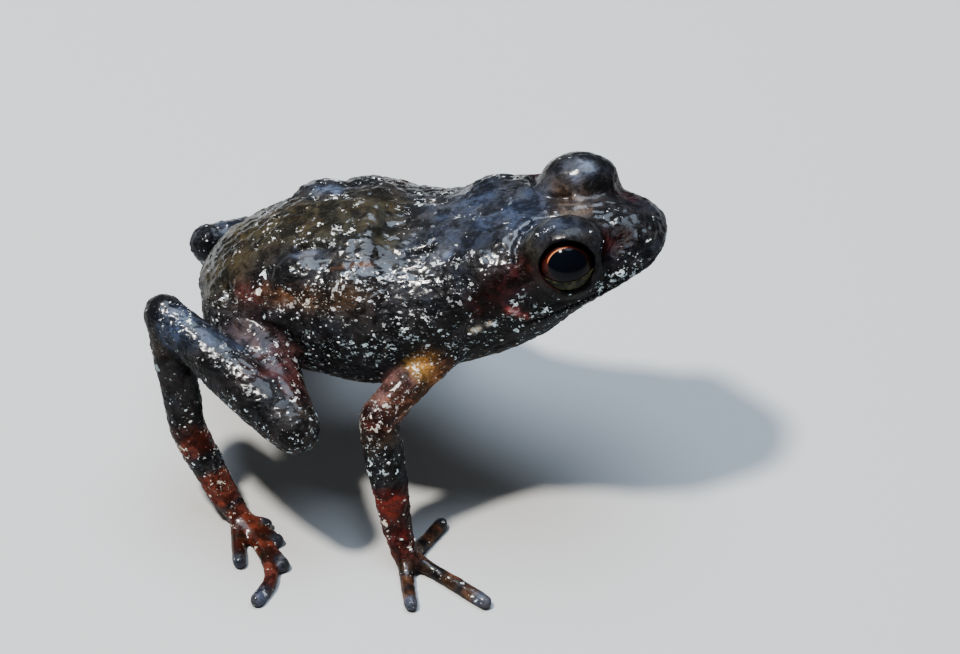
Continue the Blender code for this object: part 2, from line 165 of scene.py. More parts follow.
# Creases and dents on the right side: places, half width, depth
CREASES = {
    "fold behind the lid": (
        ((6.9, -0.55, 11.8), (6.4, -0.6, 11.72), (5.85, -0.8, 11.62), (5.5, -1.25, 11.52),
         (5.28, -2.0, 11.32), (5.4, -2.46, 11.1)),
        0.09, 0.18,
    ),
    "hollow before the eye": (((8.95, -1.3, 11.7), (8.55, -1.75, 11.5)), 0.42, 0.16),
    "crease over the arm": (((4.9, -3.0, 9.9), (4.0, -3.3, 9.3), (3.3, -3.5, 8.5)), 0.22, 0.1),
    "fold of the throat": (
        ((9.7, -1.5, 10.3), (8.4, -2.35, 9.95), (7.0, -2.9, 9.0), (5.6, -2.95, 8.0),
         (4.2, -3.2, 7.0)),
        0.09, 0.09,
    ),
    "pit of the loins": (LOIN_PIT, 0.12, 0.24),
    "pit of the shoulder": (SHOULDER_PIT, 0.11, 0.22),
    "fold of the flank": (((0.4, -1.9, 10.2), (1.0, -2.3, 10.1), (1.8, -2.45, 9.95)), 0.14, 0.1),
    "fold of the groin": (((-5.4, -2.0, 7.9), (-4.5, -2.7, 7.4), (-3.4, -3.2, 6.6)), 0.14, 0.12),
}

# Tones of the wet skin, linear. Three of them are painted sheen: reflection laid into the skin's
# colour.
# black; laid into the pits and along the fold behind the lid it is painted shade
PITCH = (0.0018, 0.0018, 0.0024)
CHARCOAL = (0.0105, 0.0105, 0.012)
# painted sheen: a blue-grey reflection, laid on the nape, the lids and the shank
PAINTED_SHEEN_SLATE = (0.024, 0.03, 0.045)
OLIVE = (0.028, 0.023, 0.01)
UMBER = (0.03, 0.018, 0.01)
SOOT = (0.017, 0.014, 0.012)
MAROON = (0.025, 0.0045, 0.004)
GARNET = (0.018, 0.0028, 0.0028)
RED_BROWN = (0.035, 0.0085, 0.006)
RED = (0.08, 0.01, 0.008)
RUST = (0.085, 0.018, 0.01)
ORANGE = (0.17, 0.055, 0.014)
OCHRE = (0.2, 0.1, 0.022)
ROSE = (0.11, 0.05, 0.038)
CRIMSON = (0.2, 0.02, 0.02)
COPPER = (0.1, 0.042, 0.017)
MAUVE = (0.036, 0.026, 0.032)
ASH = (0.04, 0.044, 0.056)
BELLY = (0.06, 0.05, 0.028)
DUST = (0.075, 0.052, 0.036)
# painted sheen: a steel-blue reflection, laid on the far lid, the shank and the heel
PAINTED_SHEEN_STEEL = (0.045, 0.06, 0.095)
# painted sheen: a pale blue reflection, laid on the swellings of the back
GLEAM = (0.12, 0.145, 0.2)
PINK = (0.6, 0.3, 0.3)
CREAM = (0.75, 0.7, 0.55)

# Tones along each limb, from its root to its end: share of the way, tone. The first and the last
# reach the limb's ends.
LIMB_TONES = {
    "upper_arm": ((0.4, OCHRE), (0.5, ROSE), (0.85, ROSE), (1.0, RED_BROWN)),
    "forearm": (
        (0.0, RED_BROWN), (0.16, UMBER), (0.3, CHARCOAL), (0.58, CHARCOAL),
        (0.66, RED), (0.95, RED_BROWN),
    ),
    "palm": ((0.0, RED), (1.0, RED_BROWN)),
    "thigh": ((0.0, UMBER), (0.35, MAUVE), (0.75, RED_BROWN), (0.95, SOOT)),
    # near its end the shank has painted sheen, blue-grey
    "shank": ((0.0, SOOT), (0.2, CHARCOAL), (0.7, CHARCOAL), (0.85, PAINTED_SHEEN_SLATE), (1.0, CHARCOAL)),
    "tarsus": ((0.0, CHARCOAL), (0.25, SOOT), (0.4, CHARCOAL), (0.9, CHARCOAL), (1.0, RED_BROWN)),
    "sole": (
        (0.22, RUST), (0.3, CHARCOAL), (0.45, CHARCOAL), (0.52, RUST),
        (0.8, RUST), (0.86, CHARCOAL), (0.92, RUST),
    ),
    "finger": (
        (0.0, RED_BROWN), (0.3, UMBER), (0.42, CHARCOAL), (0.55, COPPER), (0.7, CHARCOAL),
        (0.85, COPPER), (0.93, ASH),
    ),
    "toe": ((0.4, RUST), (0.5, UMBER), (0.65, RUST), (0.85, RED_BROWN), (0.93, ASH)),
}
# How flecked each stretch of the limbs is
LIMB_FLECKS = {
    "upper_arm": 0.4, "forearm": 0.2, "palm": 0.5, "thigh": 0.6, "shank": 0.25, "tarsus": 0.15,
    "sole": 0.9, "finger": 0.45, "toe": 0.5,
}

# Marks on head and trunk, right side: places along them, reach, tone, strength
MARKS = {
    "sheen of the nape": (
        ((1.9, -1.1, 10.3), (3.6, -0.5, 10.9), (5.6, 0.2, 11.6)), 1.1, PAINTED_SHEEN_SLATE, 1.0),
    "olive of the rump": (((-6.3, -1.0, 7.3), (-5.4, -1.4, 8.2)), 0.9, OLIVE, 0.8),
    "olive of the back": (
        ((-5.0, -0.2, 8.8), (-2.5, -0.5, 9.9), (0.5, -0.9, 10.3)), 1.0, OLIVE, 0.75),
    "brow patch": (((6.6, 0.6, 11.9), (7.2, 0.1, 11.85), (6.8, -0.3, 11.8)), 0.5, DUST, 1.0),
    "black of the cheek": (
        ((5.9, -3.2, 9.9), (7.6, -2.95, 10.0), (9.2, -2.1, 10.85)), 0.6, PITCH, 0.85),
    "hollow before the eye": (
        ((9.05, -1.1, 11.75), (8.7, -1.35, 11.7), (8.5, -1.7, 11.55)), 0.42, GARNET, 1.0),
    "band behind the eye": (
        ((5.8, -2.65, 11.05), (5.44, -2.81, 10.8), (5.1, -3.0, 10.45), (4.3, -3.3, 9.6)),
        0.54, GARNET, 1.0),
    # painted shade: a thin black line along the fold behind the lid
    "painted shade in the fold behind the lid": (
        ((5.42, -2.46, 11.11), (5.28, -2.05, 11.31), (5.32, -1.56, 11.46), (5.48, -1.19, 11.55),
         (5.68, -0.84, 11.61), (6.05, -0.62, 11.67)), 0.06, PITCH, 0.9),
    "spot at the mouth": (
        ((5.34, -3.34, 9.52), (5.63, -3.3, 9.43), (5.85, -3.25, 9.33)), 0.16, CRIMSON, 1.0),
    "heart of that spot": (((5.4, -3.33, 9.52), (5.57, -3.31, 9.47)), 0.1, PINK, 1.0),
    "cream spot": (((4.01, -3.44, 8.45), (4.22, -3.41, 8.54)), 0.11, CREAM, 1.0),
    "smaller cream spot": (((4.58, -3.35, 8.75), (4.66, -3.3, 8.8)), 0.09, CREAM, 1.0),
    "red of the flank": (((-4.8, -2.3, 8.1), (-3.9, -2.7, 8.4)), 0.42, RED_BROWN, 0.9),
    "copper of the flank": (
        ((-3.6, -2.8, 8.6), (-2.2, -3.2, 8.9), (-1.5, -3.35, 9.0)), 0.36, COPPER, 0.75),
    "brown of the side": (((-1.8, -3.1, 9.0), (0.3, -3.3, 9.6)), 0.6, UMBER, 0.8),
    "root of the arm": (((2.5, -3.85, 7.35), (2.35, -4.0, 7.2)), 0.3, OCHRE, 0.8),
    # painted sheen: pale blue reflections on the swellings of the back
    "painted sheen behind": (((-2.6, -1.8, 9.85), (-1.87, -1.79, 9.92)), 0.25, GLEAM, 0.5),
    "painted sheen before": (((2.4, -1.65, 10.35), (2.85, -1.7, 10.48)), 0.22, GLEAM, 0.5),
    # painted shade: the two pits are painted near black
    "pit of the loins": (LOIN_PIT, 0.14, PITCH, 1.0),
    "pit of the shoulder": (SHOULDER_PIT, 0.13, PITCH, 1.0),
    "sheen of the lid": (((6.9, -1.7, 12.4), (6.7, -1.4, 12.4)), 0.5, PAINTED_SHEEN_SLATE, 1.0),
    "olive of the lid": (((6.1, -2.5, 11.6), (5.9, -2.0, 11.8)), 0.3, OLIVE, 0.9),
}
# Marks on one side only
OWN_MARKS = {
    "right": {
        "stripe of the back": (
            ((-1.29, -2.5, 9.87), (-0.66, -2.36, 10.02), (0.05, -2.21, 10.06)), 0.1, COPPER, 0.9),
    },
    "left": {
        "sheen of the far lid": (
            ((6.86, -0.99, 12.26), (7.1, -1.31, 12.5), (7.35, -1.5, 12.58)), 0.3, PAINTED_SHEEN_STEEL, 0.9),
    },
}
# Marks laid over the limbs' own tones
LIMB_MARKS = {
    "front of the arm": (
        ((3.0, -3.9, 6.8), (2.55, -4.3, 6.1), (1.9, -4.9, 5.6)), 0.36, ORANGE, 0.9),
    # painted sheen: a blue-grey reflection on the shank
    "painted sheen of the shank": (
        ((-5.68, -4.38, 7.58), (-5.17, -4.21, 7.5), (-4.61, -4.26, 7.29)), 0.45, PAINTED_SHEEN_STEEL, 0.85),
    "red of the shank": (((-3.95, -5.42, 7.2), (-3.42, -5.29, 7.06)), 0.36, RED_BROWN, 0.9),
    # painted sheen: a blue-grey reflection on the heel
    "painted sheen of the heel": (((-7.12, -3.62, 7.83), (-6.48, -4.07, 7.68)), 0.35, PAINTED_SHEEN_STEEL, 0.7),
    "black of the shank": (((-4.6, -5.9, 6.6), (-3.2, -6.4, 6.2)), 0.5, PITCH, 0.7),
}
# The ones that are matt and have no flecks
MATT = ("hollow before the eye", "band behind the eye", "pit of the loins", "pit of the shoulder")
# The painted sheen patches, which are also made smooth and wetter, with fewer flecks
SMOOTH = ("painted sheen behind", "painted sheen before")
# Where flecks crowd, right side: places, reach, how much more
CROWDS = {
    "row over the shoulder": (
        ((1.57, -2.14, 9.97), (2.57, -1.96, 10.28), (3.35, -2.22, 10.72), (4.96, -2.2, 11.22)),
        0.15, 2.0),
    "silver of the flank": (((-1.9, -2.9, 9.3), (0.0, -2.95, 9.9), (1.5, -2.5, 10.03)), 0.65, 0.9),
    "row over the loins": (((-2.6, -1.18, 9.93), (-1.5, -1.3, 10.12)), 0.14, 2.4),
    "row before the shoulder": (((1.3, -1.3, 10.2), (2.3, -1.18, 10.4)), 0.14, 2.4),
    "cluster on the back": (
        ((0.54, -0.81, 10.22), (0.82, -0.72, 10.22), (1.01, -0.29, 10.27)), 0.16, 1.7),
    "spot on the back": (((-0.94, -0.72, 10.32), (-0.84, -0.88, 10.33)), 0.14, 1.8),
    "spots on the rump": (((-2.83, -0.56, 9.88), (-2.47, -0.68, 9.99)), 0.12, 1.6),
    "along the jaw": (
        ((4.98, -3.31, 9.11), (6.82, -3.0, 9.47), (8.15, -2.68, 9.96), (9.8, -1.6, 10.97)),
        0.28, 1.5),
    "under the band": (((5.39, -3.21, 9.94), (5.97, -3.17, 10.09), (6.42, -3.24, 9.87)), 0.28, 1.5),
    "back of the lid": (((6.04, -2.03, 12.11), (6.5, -1.98, 12.41)), 0.2, 1.3),
    "outside of the arm": (
        ((2.5, -3.86, 7.3), (1.87, -4.54, 6.5), (1.23, -5.1, 5.93), (0.9, -5.32, 5.74)), 0.38, 2.2),
    "outside of the forearm": (
        ((0.5, -5.6, 5.2), (0.68, -5.85, 4.81), (0.71, -6.08, 4.28), (0.89, -6.31, 3.77)),
        0.42, 1.8),
    "low on the flank": (((-1.6, -3.95, 7.3), (0.2, -4.15, 7.7), (1.8, -3.85, 8.3)), 0.5, 0.6),
    "knee": (((-3.0, -7.0, 5.85), (-1.7, -7.3, 5.9)), 0.6, 0.5),
    "rump": (((-4.25, -0.6, 9.2), (-3.7, -1.7, 9.2), (-3.0, -1.8, 9.7)), 0.7, 0.5),
    "chain of the shank": (
        ((-4.98, -4.77, 7.45), (-4.68, -5.22, 7.31), (-4.29, -5.75, 7.06)), 0.24, 1.5),
    "outside of the wrist": (((0.95, -6.4, 2.8), (1.15, -6.7, 2.0), (1.4, -6.9, 1.3)), 0.3, 1.0),
    "heel": (((-7.1, -3.7, 7.8), (-6.5, -4.2, 7.6)), 0.3, 0.8),
}

# Sizes of the relief: lumps of the back, folds along the body, pebbles
LUMP_SIZE = 1.5
FOLD_SIZE = 0.6
PEBBLE_SIZE = 0.26

CAMERA = Vector((27.067, -147.390, 139.915))
TARGET = Vector((3.816, -0.591, 6.089))
LENS = 204
FLOOR = 600
SKY = (0.8, 0.88, 1.0)
LIT = Vector((0, 0, 6))  # what the lamps are turned to
# Lamps: place, size, watts, warmth of the light
LAMPS = {
    "key": ((-80, -30, 220), 26, 0.85, (1.0, 0.96, 0.9)),
    "sky": ((10, 70, 250), 190, 0.75, (0.66, 0.8, 1.0)),
}


class SkinSizes(bpy.types.PropertyGroup):
    """Sizes and finish of the skin."""

    grain: FloatProperty(
        name="Grain", description="Edge of the skin's mesh", default=0.074 * MM, unit="LENGTH")
    triangles: IntProperty(
        name="Triangles", description="About how many triangles the skin keeps", default=194000,
        min=10000)
    lump_height: FloatProperty(
        name="Lumps", description="Height of the lumps of the back", default=0.1, min=0)
    fold_height: FloatProperty(
        name="Folds", description="Height of the fine folds", default=0.05, min=0)
    grain_height: FloatProperty(
        name="Pebbles", description="Height of the pebbled relief", default=0.035, min=0)
    fleck: FloatVectorProperty(
        name="Fleck", description="Colour of the pale flecks", default=(0.92, 0.95, 0.95),
        subtype="COLOR", min=0, max=1)
    low_fleck: FloatVectorProperty(
        name="Low Fleck", description="Colour of the flecks low on the sides",
        default=(0.76, 0.93, 1.0), subtype="COLOR", min=0, max=1)
    warm_fleck: FloatVectorProperty(
        name="Warm Fleck", description="Colour of the flecks on red and orange skin",
        default=(0.92, 0.82, 0.68), subtype="COLOR", min=0, max=1)
    roughness: FloatProperty(
        name="Roughness", description="How matt the skin is under its wetness", default=0.45,
        min=0, max=1, subtype="FACTOR")


class GranuleSizes(bpy.types.PropertyGroup):
    """Sizes of the raised granules."""

    density: FloatProperty(
        name="Density", description="Granules on a square millimetre where they are densest",
        default=13.0, min=0)
    smallest: FloatProperty(
        name="Smallest", description="Radius of the smallest granule", default=0.03 * MM,
        unit="LENGTH")
    largest: FloatProperty(
        name="Largest", description="Radius of the largest granule", default=0.07 * MM,
        unit="LENGTH")
    seed: IntProperty(name="Seed", description="Chooses where the granules fall", default=7)


class EyeSizes(bpy.types.PropertyGroup):
    """Sizes and colours of the eyes."""

    pupil: FloatVectorProperty(
        name="Pupil", description="Half length and half height of the pupil", size=2,
        default=(0.7 * MM, 0.6 * MM), unit="LENGTH")
    copper: FloatVectorProperty(
        name="Copper", description="Colour of the arc over the pupil", default=(0.8, 0.26, 0.09),
        subtype="COLOR", min=0, max=1)
    iris: FloatVectorProperty(
        name="Iris", description="Colour of the iris", default=(0.02, 0.004, 0.003),
        subtype="COLOR", min=0, max=1)


class StageSizes(bpy.types.PropertyGroup):
    """Camera, floor and light."""

    floor: FloatVectorProperty(
        name="Floor", description="Colour of the floor", default=(0.55, 0.55, 0.535),
        subtype="COLOR", min=0, max=1)
    strength: FloatProperty(
        name="Light", description="Strength of all the lamps", default=1.12, min=0)


def mirrored(v, sign):
    return Vector((v[0], v[1] * sign, v[2]))


def frame_shift():
    """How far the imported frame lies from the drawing, found from the right eye's box."""
    low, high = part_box("right_eye")
    return (low + high) / 2 / MM - mirrored(EYE, SIDES["right"])


def smooth(rows, steps):
    """Rows of numbers with `steps` rows for each span, on a Catmull-Rom curve through them."""
    rows = np.array(rows, float)
    padded = np.vstack([2 * rows[0] - rows[1], rows, 2 * rows[-1] - rows[-2]])
    made = []
    for a, b, c, d in zip(padded, padded[1:], padded[2:], padded[3:]):
        for t in np.arange(steps) / steps:
            bend = 2 * a - 5 * b + 4 * c - d + t * (3 * (b - c) + d - a)
            made.append(b + 0.5 * t * (c - a + t * bend))
    made.append(rows[-1])
    return made


def filled(value, power):
    """A sine or cosine, pushed out into the corners of a ring as the power grows past 2."""
    return math.copysign(abs(value) ** (2 / power), value)


def station(along):
    """The trunk's cross-section at a distance along it: centre, up, width, rise, drop, fullness."""
    rows = np.array(smooth(list(TRUNK.values()), SPAN))
    x, z, *sizes = [float(np.interp(along, rows[:, 0], rows[:, k])) for k in range(6)]
    k = int(np.clip(np.searchsorted(rows[:, 0], along), 1, len(rows) - 1))
    ahead = Vector((rows[k][0] - rows[k - 1][0], 0, rows[k][1] - rows[k - 1][1])).normalized()
    return Vector((x, 0, z)), ahead.cross(LEFT), *sizes


def on_trunk(along, degrees):
    """A place on the trunk's left side, and the way out of it. 90 degrees is the back."""
    centre, up, width, rise, drop, power = station(along)
    tall = rise if degrees > 0 else drop
    across = filled(math.cos(math.radians(degrees)), power) * width
    high = filled(math.sin(math.radians(degrees)), power) * tall
    out = (LEFT * across / width**2 + up * high / tall**2).normalized()
    return centre + LEFT * across + up * high, out


def section(centre, side, up, width, rise, drop, count, power=2.0):
    """A ring of points round a centre, an ellipse whose corners fill out as the power grows."""
    ring = []
    for k in range(count):
        c, s = math.cos(2 * math.pi * k / count), math.sin(2 * math.pi * k / count)
        high = filled(s, power) * (rise if s > 0 else drop)
        ring.append(centre + side * (filled(c, power) * width) + up * high)
    return ring


def loft(shape, rings, closed=False):
    """Adds a surface through rings of points to a bmesh, closed round or with fans on its ends."""
    loops = [[shape.verts.new(p) for p in ring] for ring in rings]
    count = len(loops[0])
    faces = []
    for lower, upper in zip(loops, loops[1:] + (loops[:1] if closed else [])):
        for k in range(count):
            n = (k + 1) % count
            faces.append(shape.faces.new((lower[k], lower[n], upper[n], upper[k])))
    for loop in () if closed else (loops[0], loops[-1]):
        middle = shape.verts.new(sum((v.co for v in loop), Vector()) / count)
        for k in range(count):
            faces.append(shape.faces.new((loop[k], loop[(k + 1) % count], middle)))
    bmesh.ops.recalc_face_normals(shape, faces=faces)


def trunk(shape):
    rows = smooth(list(TRUNK.values()), SPAN)
    rings = []
    for k, (x, z, width, rise, drop, power) in enumerate(rows):
        before, after = rows[max(k - 1, 0)], rows[min(k + 1, len(rows) - 1)]
        along = Vector((after[0] - before[0], 0, after[1] - before[1])).normalized()
        up = along.cross(LEFT)
        rings.append(section(Vector((x, 0, z)), LEFT, up, width, rise, drop, ROUND_BODY, power))
    loft(shape, rings)


def tube(shape, points, steps=6):
    """A tapered tube with round ends. points: (place, radius) from root to tip."""
    rows = smooth([(*place, radius) for place, radius in points], steps)
    line = [(Vector(row[:3]), float(row[3])) for row in rows]
    ends = []
    for (tip, radius), (inner, _) in ((line[0], line[1]), (line[-1], line[-2])):
        out = (tip - inner).normalized()
        turns = [math.radians(angle) for angle in (20, 38, 55, 70, 82)]
        ends.append([(tip + out * radius * math.sin(a), radius * math.cos(a)) for a in turns])
    line = ends[0][::-1] + line + ends[1]
    rings = []
    for k, (centre, radius) in enumerate(line):
        along = (line[min(k + 1, len(line) - 1)][0] - line[max(k - 1, 0)][0]).normalized()
        side = along.cross(UP).normalized()
        rings.append(section(centre, side, side.cross(along), radius, radius, radius, ROUND_LIMB))
    loft(shape, rings)


def ball(shape, centre, size, turn=Matrix.Identity(3), around=40, along=26):
    """An ellipsoid with its poles on its own X, turned and then placed."""
    rings = []
    for k in range(1, along):
        a = math.pi * k / along
        middle = centre + turn @ Vector((-math.cos(a) * size[0], 0, 0))
        wide, high = math.sin(a) * size[1], math.sin(a) * size[2]
        rings.append(section(middle, turn @ LEFT, turn @ UP, wide, high, high, around))
    loft(shape, rings)


def hoop(shape, centre, turn, size, thick, around=56, across=14):
    """A closed oval hoop, round its own Z before it is turned."""
    rings = []
    for k in range(around):
        a = 2 * math.pi * k / around
        out = Vector((math.cos(a), math.sin(a), 0))
        middle = Vector((out.x * size[0], out.y * size[1], 0))
        places = section(middle, out, UP, thick, thick, thick, across)
        rings.append([centre + turn @ place for place in places])
    loft(shape, rings, closed=True)


def facing(normal, along=FORWARD):
    """A turn that takes +Z to the normal and +X as near as it can to another direction."""
    z = normal.normalized()
    x = (along - z * along.dot(z)).normalized()
    return Matrix((x, z.cross(x), z)).transposed()


def eye_turn(sign):
    """A turn that takes +Z to where the eye looks and +X along the head."""
    return facing(mirrored(EYE_LOOKS, sign), HEAD_TURN @ FORWARD)


def limb_paths(side):
    """Each stretch of the limbs on one side: name, and its places with their radii."""
    knee, heel, instep = KNEE[side], HEEL[side], INSTEP[side]
    stretches = [
        ("upper_arm", zip((SHOULDER, SHOULDER.lerp(ELBOW, 0.5), ELBOW), UPPER_ARM)),
        ("forearm", zip((ELBOW, ELBOW.lerp(WRIST, 0.4), WRIST), FOREARM)),
        ("palm", zip((WRIST, PALM), HAND)),
        ("thigh", zip((HIP, HIP.lerp(knee, 0.5), knee), THIGH)),
        ("shank", zip((knee, knee.lerp(heel, 0.4), heel), SHANK)),
        ("tarsus", zip((heel, heel.lerp(instep, 0.5), instep), TARSUS)),
        ("sole", zip((instep, SOLE, BALL), FOOT)),
    ]
    for name, root, digits in (("finger", PALM, FINGERS), ("toe", BALL, TOES)):
        for places in digits.values():
            path = [(Vector((*place, DIGIT_HEIGHT)), DIGIT) for place in places]
            stretches.append((name, ((root, DIGIT_ROOT), *path)))
    sign = SIDES[side]
    return [(name, [(mirrored(p, sign), r) for p, r in path]) for name, path in stretches]


def round_the_snout(degrees):
    """Places along the jaw from the right corner of the mouth round the snout to the left one."""
    front = TRUNK["tip"][0]
    share = [math.sin(math.pi / 2 * k / 16) for k in range(17)]
    left = [on_trunk(MOUTH_CORNER + (front - MOUTH_CORNER) * t, degrees)[0] for t in share]
    return [mirrored(place, -1) for place in left] + left[-2::-1]


def lofts():
    """All the forms of the flesh in one mesh, still passing through each other."""
    shape = bmesh.new()
    trunk(shape)
    for degrees, radius in LIPS.values():
        path = [place.lerp(SKULL, LIPS_SUNK) for place in round_the_snout(degrees)]
        tube(shape, [(place, radius) for place in path], steps=1)
    for side, sign in SIDES.items():
        ball(shape, mirrored(LID_DOME, sign), LID_SIZE, HEAD_TURN)
        middle = mirrored(EYE + EYE_LOOKS * LID_FORWARD, sign)
        hoop(shape, middle, eye_turn(sign), LID_RING, LID_THICK)
        for along, degrees, length, width, height in SWELLINGS.values():
            place, out = on_trunk(along, degrees)
            centre = mirrored(place + out * (height - SWELLING_DEPTH), sign)
            ball(shape, centre, (length, width, SWELLING_DEPTH), facing(mirrored(out, sign)))
        for _, path in limb_paths(side):
            tube(shape, path)
    return shape


def openings():
    """What is taken from the flesh: the eyes' sockets, the gaps between the lids, the nostrils."""
    shape = bmesh.new()
    for sign in SIDES.values():
        ball(shape, mirrored(EYE, sign), (SOCKET_RADIUS,) * 3)
        side, up, out = eye_turn(sign).transposed()
        length, height = EYE_OPENING
        ends = [mirrored(EYE, sign) + out * far for far in (EYE_RADIUS * 0.3, EYE_RADIUS * 3)]
        loft(shape, [section(end, side * length, up * height, 1, 1, 1, 48) for end in ends])
        ball(shape, mirrored(NOSTRIL, sign), (NOSTRIL_RADIUS,) * 3)
    return shape


def linked(name, data):
    thing = bpy.data.objects.new(name, data)
    bpy.context.scene.collection.objects.link(thing)
    return thing


def thing_from(name, shape):
    mesh = bpy.data.meshes.new(name)
    shape.to_mesh(mesh)
    shape.free()
    return linked(name, mesh)


def applied(thing):
    """The object with its mesh as its modifiers leave it, and the modifiers gone."""
    bpy.context.view_layer.update()
    seen = bpy.context.evaluated_depsgraph_get()
    mesh = bpy.data.meshes.new_from_object(thing.evaluated_get(seen))
    thing.modifiers.clear()
    thing.data = mesh
    return thing


def changed(thing, kind, **settings):
    """The object with a modifier applied."""
    modifier = thing.modifiers.new(kind.lower(), kind)
    for name, value in settings.items():
        setattr(modifier, name, value)
    return applied(thing)


def softened(thing, passes, strength):
    """Smooths a mesh, with a strength from 0 to 1 for each of its vertices."""
    group = thing.vertex_groups.new(name="soft")
    for k, value in enumerate(strength):
        group.add([k], float(value), "REPLACE")
    changed(thing, "SMOOTH", factor=0.5, iterations=passes, vertex_group=group.name)
    thing.vertex_groups.clear()
    return thing


def thinned(thing, triangles):
    """Takes triangles out where the mesh is flattest, until about this many are left."""
    mesh = thing.data
    now = len(mesh.loops) - 2 * len(mesh.polygons)
    return changed(thing, "DECIMATE", ratio=min(1, triangles / now))


def grown(thing, tree, values):
    """The object with geometry nodes applied, their inputs given by name."""
    nodes = thing.modifiers.new(tree.name, "NODES")
    nodes.node_group = tree
    keys = {item.name: item.identifier for item in tree.interface.items_tree
            if item.in_out == "INPUT"}
    for name, value in values.items():
        nodes[keys[name]] = value
    return applied(thing)


def places_of(mesh, what="co"):
    values = np.zeros(len(mesh.vertices) * 3, np.float32)
    mesh.vertices.foreach_get(what, values)
    return values.reshape(-1, 3).astype(float)


def move_to(mesh, places):
    mesh.vertices.foreach_set("co", places.astype(np.float32).ravel())
    mesh.update()


def save(mesh, name, values):
    """Keeps a number, place or colour for each vertex as an attribute."""
    kind, field = {
        1: ("FLOAT", "value"), 3: ("FLOAT_VECTOR", "vector"), 4: ("FLOAT_COLOR", "color"),
    }[values.size // len(values)]
    layer = mesh.attributes.new(name, kind, "POINT")
    layer.data.foreach_set(field, values.astype(np.float32).ravel())


def to_path(points, path):
    """For each point, its distance from a line of places and its share of the way along it."""
    path = np.array([tuple(p) for p in path], float)
    lengths = np.linalg.norm(np.diff(path, axis=0), axis=1)
    before = np.concatenate([[0], np.cumsum(lengths)])
    best = np.full(len(points), np.inf)
    share = np.zeros(len(points))
    for a, b, length, start in zip(path, path[1:], lengths, before):
        t = np.clip((points - a) @ (b - a) / length**2, 0, 1)
        away = np.linalg.norm(points - (a + t[:, None] * (b - a)), axis=1)
        nearer = away < best
        best[nearer] = away[nearer]
        share[nearer] = ((start + t * length) / before[-1])[nearer]
    return best, share


def from_path(places, path, sign):
    """How far places are from a line that is given for the right side, on the side of a sign."""
    return to_path(places, [mirrored(p, -sign) for p in path])[0]


def from_point(places, point, sign):
    return np.linalg.norm(places - np.array(mirrored(point, sign)), axis=1)


def step(low, high, values):
    t = np.clip((values - low) / (high - low), 0, 1)
    return t * t * (3 - 2 * t)


def bell(ratio):
    """1 at nought and falling off smoothly on both sides."""
    return np.exp(-(ratio**2))


def flesh(grain):
    """Head, trunk and limbs as one closed surface with the lids and nostrils open."""
    body = changed(thing_from("skin", lofts()), "REMESH", mode="VOXEL", voxel_size=FIRST_GRAIN)
    softened(body, 12, np.clip((places_of(body.data)[:, 2] - 0.8) / 2, 0.2, 1))
    cutter = thing_from("openings", openings())
    changed(body, "BOOLEAN", operation="DIFFERENCE", object=cutter, solver="EXACT", use_self=True)
    bpy.data.objects.remove(cutter)
    changed(body, "REMESH", mode="VOXEL", voxel_size=grain)
    return softened(body, 3, np.clip((places_of(body.data)[:, 2] - 0.4) / 2, 0.1, 1))


def creased(body):
    """Presses the creases, dents and the mouth's line into the skin, on both sides."""
    places, normals = places_of(body.data), places_of(body.data, "normal")
    depth = np.zeros(len(places))
    for sign in SIDES.values():
        for path, width, deep in CREASES.values():
            depth += deep * bell(from_path(places, path, sign) / width)
    away, share = to_path(places, round_the_snout(MOUTH_TURN))
    ends = step(0, 0.06, share) * step(0, 0.06, 1 - share)
    line = MOUTH_LINE["depth"] * bell(away / MOUTH_LINE["width"])
    lips = MOUTH_LINE["lip"] * bell(away / MOUTH_LINE["lip width"])
    depth += (line - lips) * ends
    move_to(body.data, places - normals * depth[:, None])


def limb_of(places):
    """For each place: how far it is on a limb, the limb's tone and flecks, and if it is a digit."""
    count = len(places)
    nearest, hold = np.full(count, np.inf), np.ones(count)
    tones, flecks, digit = np.zeros((count, 3)), np.zeros(count), np.zeros(count)
    for side in SIDES:
        for name, path in limb_paths(side):
            away, share = to_path(places, [place for place, _ in path])
            radius = np.interp(share, np.linspace(0, 1, len(path)), [r for _, r in path])
            ratio = away / radius
            nearer = ratio < nearest
            nearest[nearer] = ratio[nearer]
            stops, values = zip(*LIMB_TONES[name])
            for k in range(3):
                tones[nearer, k] = np.interp(share, stops, [value[k] for value in values])[nearer]
            flecks[nearer] = LIMB_FLECKS[name]
            digit[nearer] = name in ("finger", "toe")
            rooted = name in ("upper_arm", "thigh")
            hold[nearer] = step(0.12, 0.34, share)[nearer] if rooted else 1
    return (1 - step(1.12, 1.5, nearest)) * hold, tones, flecks, digit


def lay(tone, value, share):
    """Mixes another tone in, by a share for each vertex."""
    tone += (np.array(value) - tone) * share[:, None]


def mark(tone, places, sign, marks):
    """Lays marks, given for the right side, on the tones of one side."""
    for path, reach, value, strength in marks.values():
        lay(tone, value, strength * bell(from_path(places, path, sign) / reach))


def lessen(paint, share, **amounts):
    """Takes an amount of each named value away where the share is 1."""
    for name, amount in amounts.items():
        paint[name] *= 1 - amount * share


